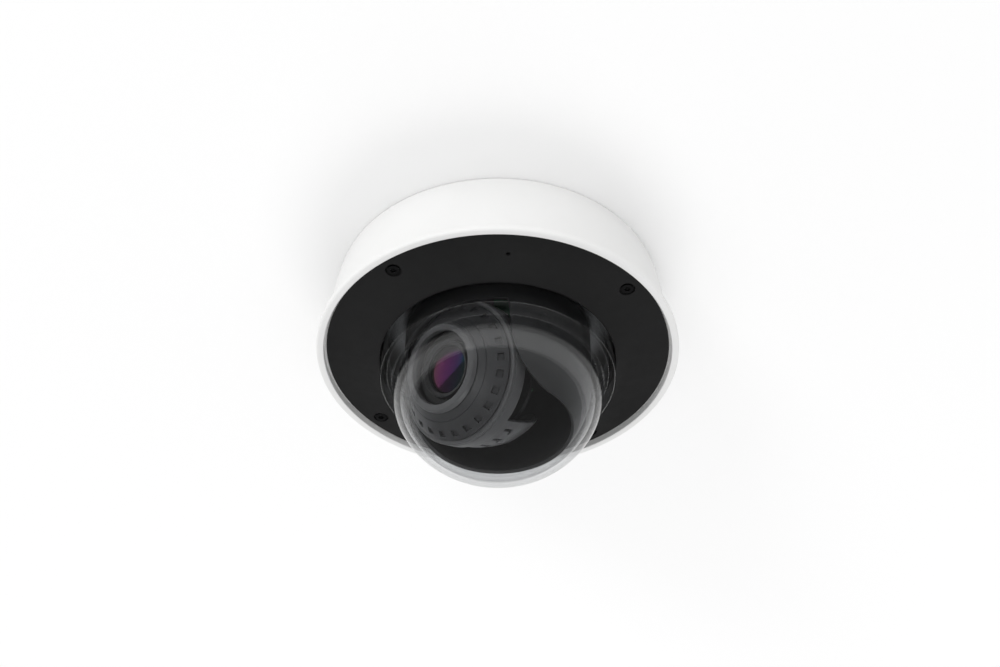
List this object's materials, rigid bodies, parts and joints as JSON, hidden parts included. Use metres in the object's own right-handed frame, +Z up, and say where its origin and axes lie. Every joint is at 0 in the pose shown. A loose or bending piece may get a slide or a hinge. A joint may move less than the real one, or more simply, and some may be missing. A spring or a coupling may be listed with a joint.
{
  "type": "dome surveillance camera",
  "caption": "Ceiling dome camera: white round housing, black face plate, clear dome, and a varifocal lens head that pans, tilts and rolls.",
  "frame": {"origin": "centre of the ceiling face", "axes": "+Z up into the ceiling; the dome hangs along -Z; at rest the lens looks towards -X and -Y, down a little"},
  "size_m": [0.17, 0.17, 0.1023],
  "materials": {
    "white_paint": "fine satin powder coat",
    "black_plastic": "fine matt texture",
    "grey_plastic": "satin",
    "clear_dome": "polished clear polycarbonate",
    "rubber": "matt",
    "black_screw": "blackened",
    "steel": "bright zinc",
    "aluminium": "milled",
    "circuit_board": "green solder mask",
    "card_plastic": "satin",
    "lens_glass": "violet coated",
    "gear_plastic": "natural acetal"
  },
  "bodies": {
    "housing": {"base_housing": "white_paint", "cable_grommet": "rubber", "face_plate": "black_plastic", "dome_bubble": "clear_dome", "dome_gasket": "rubber", "dome_clamp_ring": "black_plastic", "face_gasket": "rubber", "cover_screw_1": "black_screw", "cover_screw_2": "black_screw", "cover_screw_3": "black_screw", "cover_screw_4": "black_screw", "clamp_screw_1": "steel", "clamp_screw_2": "steel", "clamp_screw_3": "steel", "clamp_screw_4": "steel", "microphone": "steel", "main_board": "circuit_board", "ethernet_jack": "steel", "heat_spreader": "aluminium", "board_screw_1": "steel", "board_screw_2": "steel", "board_screw_3": "steel", "card_slot": "steel", "reset_switch": "grey_plastic", "chassis_plate": "steel", "chassis_screw_1": "steel", "chassis_screw_2": "steel", "chassis_screw_3": "steel"},
    "card": {"memory_card": "card_plastic"},
    "button": {"reset_button": "grey_plastic"},
    "pan_stage": {"pan_turntable": "black_plastic", "pan_retainer_ring": "steel", "inner_shroud": "grey_plastic", "yoke_arm_left": "black_plastic", "yoke_arm_right": "black_plastic", "tilt_pin_left": "steel", "tilt_pin_right": "steel"},
    "tilt_stage": {"tilt_cradle": "grey_plastic", "rear_bracket": "grey_plastic"},
    "lens_head": {"front_shell": "black_plastic", "front_bezel": "grey_plastic", "lens_baffle": "rubber", "lens_barrel": "black_plastic", "front_lens": "lens_glass", "rear_lens": "lens_glass", "lens_carrier": "black_plastic", "lens_mount": "black_plastic", "image_sensor": "lens_glass", "sensor_board": "circuit_board", "sensor_screw_1": "steel", "sensor_screw_2": "steel", "zoom_motor": "steel", "focus_motor": "steel"},
    "filter": {"filter_slider": "black_plastic"},
    "zoom": {"zoom_ring": "gear_plastic"},
    "zoom_drive": {"zoom_pinion": "gear_plastic"},
    "focus": {"focus_ring": "gear_plastic"},
    "focus_drive": {"focus_pinion": "gear_plastic"}
  },
  "joints": [
    {"name": "pan", "type": "hinge", "parent": "housing", "child": "pan_stage", "pos_m": [0, 0, -0.055], "axis": [0, 0, 1], "range_deg": [-175, 175]},
    {"name": "tilt", "type": "hinge", "parent": "pan_stage", "child": "tilt_stage", "pos_m": [0, 0, -0.055], "axis": [0.7133, -0.7009, 0], "range_deg": [-4.5, 70.5]},
    {"name": "roll", "type": "hinge", "parent": "tilt_stage", "child": "lens_head", "pos_m": [0, 0, -0.055], "axis": [-0.6607, -0.6723, -0.3338], "range_deg": [-90, 90]},
    {"name": "zoom_turn", "type": "hinge", "parent": "lens_head", "child": "zoom", "pos_m": [0, 0, -0.055], "axis": [-0.6607, -0.6723, -0.3338], "range_deg": [0, 70]},
    {"name": "zoom_pinion_turn", "type": "hinge", "parent": "lens_head", "child": "zoom_drive", "pos_m": [-0.01013, 0.01361, -0.06237], "axis": [-0.6607, -0.6723, -0.3338], "range_deg": [-220, 0]},
    {"name": "focus_turn", "type": "hinge", "parent": "lens_head", "child": "focus", "pos_m": [0, 0, -0.055], "axis": [-0.6607, -0.6723, -0.3338], "range_deg": [0, 70]},
    {"name": "focus_pinion_turn", "type": "hinge", "parent": "lens_head", "child": "focus_drive", "pos_m": [0.01329, -0.0081, -0.065], "axis": [-0.6607, -0.6723, -0.3338], "range_deg": [-220, 0]},
    {"name": "filter_slide", "type": "slide", "parent": "lens_head", "child": "filter", "axis": [0.7133, -0.7009, 0], "range_m": [0, 0.008]},
    {"name": "card_slide", "type": "slide", "parent": "housing", "child": "card", "axis": [1, 0, 0], "range_m": [0, 0.011]},
    {"name": "button_press", "type": "slide", "parent": "housing", "child": "button", "axis": [0, 0, 1], "range_m": [0, 0.0005], "stiffness_N_per_m": 400}
  ],
  "couplings": [
    {"joint": "zoom_pinion_turn", "follows": "zoom_turn", "ratio": -3.1111},
    {"joint": "focus_pinion_turn", "follows": "focus_turn", "ratio": -3.1111}
  ]
}
